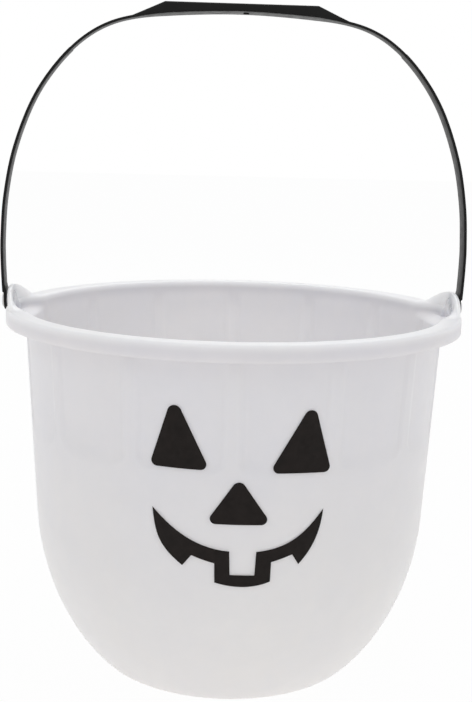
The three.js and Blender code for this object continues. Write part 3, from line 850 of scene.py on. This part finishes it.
def make_ink(name, outline):
    """A film of ink of the outline's shape that follows the fluted wall."""
    edge = subdivided([np.array(p, float) for p in outline])
    corner = np.array(edge)
    low, high = corner.min(0), corner.max(0)
    inside = [
        (x, z)
        for x in np.arange(low[0] + INK_GRID_START, high[0], INK_GRID)
        for z in np.arange(low[1] + INK_GRID_START, high[1], INK_GRID)
    ]
    near = [
        p for p in inside
        if np.min(np.hypot(corner[:, 0] - p[0], corner[:, 1] - p[1])) > 0.5 * INK_GRID
    ]
    count = len(edge)
    loop = [(k, (k + 1) % count) for k in range(count)]
    flat = [Vector((float(p[0]), float(p[1]))) for p in edge + near]
    whole = [list(range(count))]
    points, _, faces, *_ = delaunay_2d_cdt(flat, loop, whole, 1, INK_MERGE_DISTANCE)
    place = np.array([(x, RIM_HEIGHT + z) for x, z in points])
    solid = []
    for offset in (INK_CLEARANCE, INK_CLEARANCE + INK_THICKNESS):
        radius = np.full(len(place), waist_radius)
        for _ in range(INK_FITTING_ROUNDS):
            angle = np.degrees(np.arcsin(place[:, 0] / radius))
            radius = wall_radius(angle, place[:, 1]) + offset
        y = -np.sqrt(radius**2 - place[:, 0] ** 2)
        solid += list(zip(place[:, 0], y, place[:, 1]))
    total = len(place)
    used = {
        (face[k], face[(k + 1) % len(face)]): True
        for face in faces
        for k in range(len(face))
    }
    sheets = [tuple(reversed(face)) for face in faces]
    sheets += [tuple(i + total for i in face) for face in faces]
    sheets += [(a, b, b + total, a + total) for a, b in used if (b, a) not in used]
    obj = mesh_object(name, solid, sheets, INK_SHARP_ANGLE)
    bm = bmesh.new()
    bm.from_mesh(obj.data)
    loose = [v for v in bm.verts if not v.link_faces]
    bmesh.ops.delete(bm, geom=loose, context="VERTS")
    bmesh.ops.recalc_face_normals(bm, faces=bm.faces)
    bm.to_mesh(obj.data)
    bm.free()
    return obj


# The materials


class Nodes:
    """A small helper that adds and links shader nodes."""

    def __init__(self, name):
        self.material = bpy.data.materials.new(name)
        self.material.use_nodes = True
        self.tree = self.material.node_tree
        self.shader = self.tree.nodes["Principled BSDF"]
        self.place = self.add("ShaderNodeTexCoord").outputs["Object"]

    def add(self, kind):
        return self.tree.nodes.new(kind)

    def link(self, source, target):
        self.tree.links.new(source, target)

    def noise(self, scale, detail=3, roughness=0.5, stretch=None):
        """Noise in the object's own space, per metre."""
        node = self.add("ShaderNodeTexNoise")
        node.inputs["Scale"].default_value = scale
        node.inputs["Detail"].default_value = detail
        node.inputs["Roughness"].default_value = roughness
        source = self.place
        if stretch:
            mapping = self.add("ShaderNodeMapping")
            mapping.inputs["Scale"].default_value = stretch
            self.link(self.place, mapping.inputs["Vector"])
            source = mapping.outputs["Vector"]
        self.link(source, node.inputs["Vector"])
        return node.outputs["Fac"]

    def ramp(self, source, stops):
        """Colours at positions along a source."""
        node = self.add("ShaderNodeValToRGB")
        elements = node.color_ramp.elements
        while len(elements) < len(stops):
            elements.new(0.5)
        for element, (position, color) in zip(elements, stops):
            element.position = position
            element.color = (*color, 1)
        self.link(source, node.inputs["Fac"])
        return node.outputs["Color"]

    def spread(self, source, low, high, start=0.3, end=0.7):
        """A source that goes from start to end, spread from low to high."""
        node = self.add("ShaderNodeMapRange")
        node.inputs["From Min"].default_value = start
        node.inputs["From Max"].default_value = end
        node.inputs["To Min"].default_value = low
        node.inputs["To Max"].default_value = high
        self.link(source, node.inputs["Value"])
        return node.outputs["Result"]

    def multiply(self, a, b):
        """The product of two colours."""
        node = self.add("ShaderNodeMix")
        node.data_type = "RGBA"
        node.blend_type = "MULTIPLY"
        factor, first, second = (s for s in node.inputs if s.enabled)
        factor.default_value = 1
        self.link(a, first)
        self.link(b, second)
        return [s for s in node.outputs if s.enabled][0]

    def bump(self, source, strength, distance, normal=None):
        """A normal raised by a source, over another bump if one is given."""
        node = self.add("ShaderNodeBump")
        node.inputs["Strength"].default_value = strength
        node.inputs["Distance"].default_value = distance
        self.link(source, node.inputs["Height"])
        if normal is not None:
            self.link(normal, node.inputs["Normal"])
        return node.outputs["Normal"]

    def set(self, **values):
        """Values set on the shader's own sockets."""
        for key, value in values.items():
            self.shader.inputs[key.replace("_", " ")].default_value = value


def level(r, g, b):
    """A colour from screen levels, 0 to 255, to linear light."""
    def one(c):
        c /= 255
        return c / 12.92 if c <= 0.04045 else ((c + 0.055) / 1.055) ** 2.4
    return (one(r), one(g), one(b))


def milky_plastic():
    """Milky plastic with painted light: a little paler and warmer low down for warm light from
    below, and paler on the rim top and thin ears for light shining through them.
    """
    n = Nodes("milky_plastic")
    split = n.add("ShaderNodeSeparateXYZ")
    n.link(n.place, split.inputs["Vector"])
    height = n.spread(split.outputs["Z"], 0, 1, start=0, end=METRES * (RIM_HEIGHT + EAR_RISE))
    # Painted light: the pale warm stop low down stands for warm light from below, and the pale stop
    # at the rim top and ears stands for light through the thin walls. The middle stop is the
    # plastic's own cooler tone.
    low, middle, ear = level(244, 241, 239), level(225, 224, 229), level(245, 244, 246)
    base = n.ramp(height, [(0.25, low), (0.7, middle), (0.935, middle), (0.955, ear)])
    cloud = n.noise(38, detail=4, roughness=0.6)
    cloud = n.ramp(cloud, [(0.3, level(250, 251, 252)), (0.7, level(255, 255, 255))])
    flow = n.noise(22, detail=3, roughness=0.55, stretch=(1, 1, 0.35))
    flow = n.ramp(flow, [(0.35, level(251, 251, 253)), (0.65, level(255, 254, 253))])
    n.link(n.multiply(n.multiply(base, cloud), flow), n.shader.inputs["Base Color"])
    n.link(n.spread(n.noise(160), 0.3, 0.4), n.shader.inputs["Roughness"])
    grain = n.bump(n.noise(2600, detail=2), strength=0.12, distance=0.00006)
    wave = n.bump(n.noise(45, detail=2), strength=0.25, distance=0.0006, normal=grain)
    n.link(wave, n.shader.inputs["Normal"])
    n.set(IOR=1.49, Subsurface_Weight=1.0, Subsurface_Scale=0.008)
    n.set(Subsurface_Radius=(1.0, 0.95, 0.9))
    return n.material


def black_plastic():
    """Moulded black plastic with a fine grain."""
    n = Nodes("black_plastic")
    cloud = n.noise(90, detail=4, roughness=0.6)
    base = n.ramp(cloud, [(0.3, level(7, 7, 7)), (0.7, level(13, 13, 12))])
    n.link(base, n.shader.inputs["Base Color"])
    n.link(n.spread(n.noise(300), 0.34, 0.46), n.shader.inputs["Roughness"])
    grain = n.bump(n.noise(3200, detail=2), strength=0.2, distance=0.00006)
    n.link(grain, n.shader.inputs["Normal"])
    n.set(IOR=1.5, Specular_IOR_Level=0.18)
    return n.material


def black_ink():
    """Matt printed ink, a little uneven."""
    n = Nodes("black_ink")
    cloud = n.noise(220, detail=5, roughness=0.65)
    base = n.ramp(cloud, [(0.3, level(17, 12, 10)), (0.7, level(28, 22, 20))])
    n.link(base, n.shader.inputs["Base Color"])
    n.link(n.spread(n.noise(420), 0.5, 0.66), n.shader.inputs["Roughness"])
    grain = n.bump(n.noise(1500), strength=0.2, distance=0.00004)
    n.link(grain, n.shader.inputs["Normal"])
    n.set(IOR=1.45, Specular_IOR_Level=0.2)
    return n.material


def background_rays(tree):
    """1 for the rays that show the background: from the camera, and by way of gloss or glass."""
    path = tree.nodes.new("ShaderNodeLightPath")
    shown = path.outputs["Is Camera Ray"]
    for name in ("Is Glossy Ray", "Is Transmission Ray"):
        either = tree.nodes.new("ShaderNodeMath")
        either.operation = "MAXIMUM"
        tree.links.new(shown, either.inputs[0])
        tree.links.new(path.outputs[name], either.inputs[1])
        shown = either.outputs[0]
    return shown


def number_between(tree, share, low, high):
    """A number that is low where the share is 0 and high where it is 1."""
    node = tree.nodes.new("ShaderNodeMapRange")
    node.inputs["To Min"].default_value = low
    node.inputs["To Max"].default_value = high
    tree.links.new(share, node.inputs["Value"])
    return node.outputs["Result"]


def color_between(tree, share, low, high):
    """A colour that is low where the share is 0 and high where it is 1."""
    node = tree.nodes.new("ShaderNodeMix")
    node.data_type = "RGBA"
    first, second = (s for s in node.inputs if s.name in "AB" and s.enabled)
    first.default_value = (*low, 1)
    second.default_value = (*high, 1)
    tree.links.new(share, node.inputs[0])
    return [s for s in node.outputs if s.enabled][0]


def floor_material():
    """A pale glowing floor that the camera sees as white, but for the object's soft shadow."""
    material = bpy.data.materials.new("pale_floor")
    material.use_nodes = True
    tree = material.node_tree
    tree.nodes.clear()
    diffuse = tree.nodes.new("ShaderNodeBsdfDiffuse")
    diffuse.inputs["Color"].default_value = (*FLOOR_COLOR, 1)
    shown = background_rays(tree)
    glow = tree.nodes.new("ShaderNodeEmission")
    tree.links.new(color_between(tree, shown, FLOOR_TINT, WHITE), glow.inputs["Color"])
    mix = tree.nodes.new("ShaderNodeMixShader")
    out = tree.nodes.new("ShaderNodeOutputMaterial")
    tree.links.new(number_between(tree, shown, FLOOR_GLOW, FLOOR_WHITE), mix.inputs["Fac"])
    tree.links.new(diffuse.outputs[0], mix.inputs[1])
    tree.links.new(glow.outputs[0], mix.inputs[2])
    tree.links.new(mix.outputs[0], out.inputs["Surface"])
    return material


# The pieces, each riding on its body

pail = make_pail()
pail.data.materials.clear()
pail.data.materials.append(milky_plastic())
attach(pail, "bucket")
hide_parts("bucket")

handle = make_handle()
handle.data.materials.clear()
handle.data.materials.append(black_plastic())
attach(handle, "handle")
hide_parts("handle")

ink = black_ink()
for name, outline in (
    ("left_eye", mark_outline(LEFT_EYE)),
    ("right_eye", mark_outline(RIGHT_EYE)),
    ("nose", mark_outline(NOSE)),
    ("mouth", mouth_outline()),
):
    film = make_ink(name + "_ink", outline)
    film.data.materials.append(ink)
    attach(film, "bucket")
    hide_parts(name + "_print")

# The floor, the light and the camera

reach = FLOOR_REACH
corners = [(-reach, -reach, 0), (reach, -reach, 0), (reach, reach, 0), (-reach, reach, 0)]
floor = mesh_object("floor", corners, [(0, 1, 2, 3)])
floor.data.materials.append(floor_material())


def lamp(name, place, aim, size, watts):
    """A round soft light at a place in metres, aimed at a point."""
    light = bpy.data.lights.new(name, "AREA")
    light.shape = "DISK"
    light.size = size
    light.energy = watts
    obj = bpy.data.objects.new(name, light)
    obj.location = place
    obj.rotation_mode = "QUATERNION"
    obj.rotation_quaternion = (Vector(aim) - Vector(place)).to_track_quat("-Z", "Y")
    scene.collection.objects.link(obj)


lamp("key", place=(-0.7, -1.1, 1.3), aim=(0, 0, 0.14), size=0.9, watts=1.5)
lamp("fill", place=(1.2, -0.9, 0.8), aim=(0, 0, 0.12), size=1.1, watts=0.5)
lamp("back", place=(0.2, 1.3, 1.2), aim=(0, 0, 0.15), size=1.0, watts=3.5)
lamp("top", place=(0, -0.1, 1.6), aim=(0, 0, 0.1), size=0.8, watts=2.0)

world = bpy.data.worlds.new("studio")
scene.world = world
world.use_nodes = True
tree = world.node_tree
tree.nodes.clear()
shown = background_rays(tree)
background = tree.nodes.new("ShaderNodeBackground")
out = tree.nodes.new("ShaderNodeOutputWorld")
tree.links.new(color_between(tree, shown, WORLD_TINT, WHITE), background.inputs["Color"])
tree.links.new(number_between(tree, shown, WORLD_LIGHT, 1), background.inputs["Strength"])
tree.links.new(background.outputs[0], out.inputs["Surface"])

scene.view_settings.view_transform = "Standard"

heading, dip, roll = (math.radians(v) for v in (CAMERA_HEADING, CAMERA_DIP, CAMERA_ROLL))
level_forward = Vector((math.sin(heading), math.cos(heading), 0))
forward = math.cos(dip) * level_forward - Vector((0, 0, math.sin(dip)))
right = Vector((math.cos(heading), -math.sin(heading), 0))
up = right.cross(forward)
camera_x = math.cos(roll) * right + math.sin(roll) * up
camera_y = math.cos(roll) * up - math.sin(roll) * right
camera_data = bpy.data.cameras.new("camera")
camera_data.sensor_fit = "AUTO"
camera_data.sensor_width = SENSOR
camera_data.lens = FOCAL_PIXELS * SENSOR / PICTURE_HEIGHT
camera_data.clip_start = 0.01
camera_data.clip_end = 100
camera = bpy.data.objects.new("camera", camera_data)
scene.collection.objects.link(camera)
axes = Matrix((camera_x, camera_y, -forward)).transposed().to_4x4()
place = METRES * (Vector(CAMERA_PLACE) + Vector((0, 0, RIM_HEIGHT)))
camera.matrix_world = Matrix.Translation(place) @ axes
scene.camera = camera
